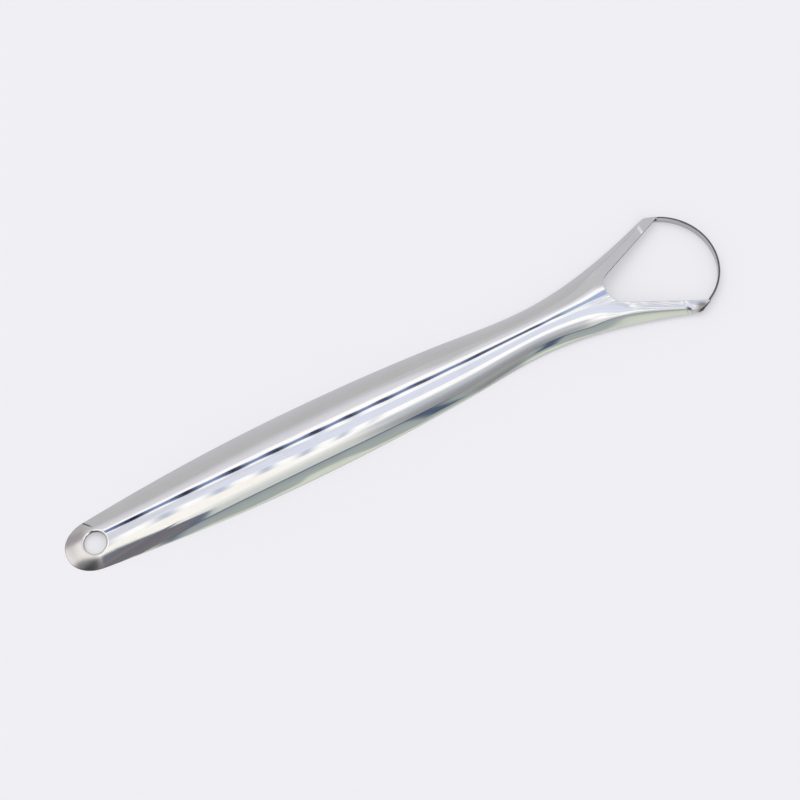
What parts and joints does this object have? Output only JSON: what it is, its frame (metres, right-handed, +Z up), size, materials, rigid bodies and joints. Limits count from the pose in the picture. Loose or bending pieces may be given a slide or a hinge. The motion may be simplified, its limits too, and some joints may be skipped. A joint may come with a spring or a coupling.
{
  "type": "tongue scraper",
  "caption": "Slim tongue scraper: a long arched sheet-steel handle with a hang hole, its head forked round an opening that a thin upright band closes.",
  "frame": {"origin": "middle of the footprint, on the plane that the rims and the band's lower edge lie on", "axes": "+X along the handle from the hang hole to the band, +Y to the left seen from the hang hole, +Z up through the arch of the sheet"},
  "size_m": [0.1485, 0.0242, 0.004],
  "materials": {
    "polished_sheet": "polished stainless sheet with a faint grain along its length",
    "polished_strip": "polished stainless strip with smoothed edges",
    "weld_steel": "dull darkened weld bead"
  },
  "bodies": {
    "root": {"handle": "polished_sheet", "scraping_band": "polished_strip", "left_weld": "weld_steel", "right_weld": "weld_steel"}
  },
  "joints": []
}
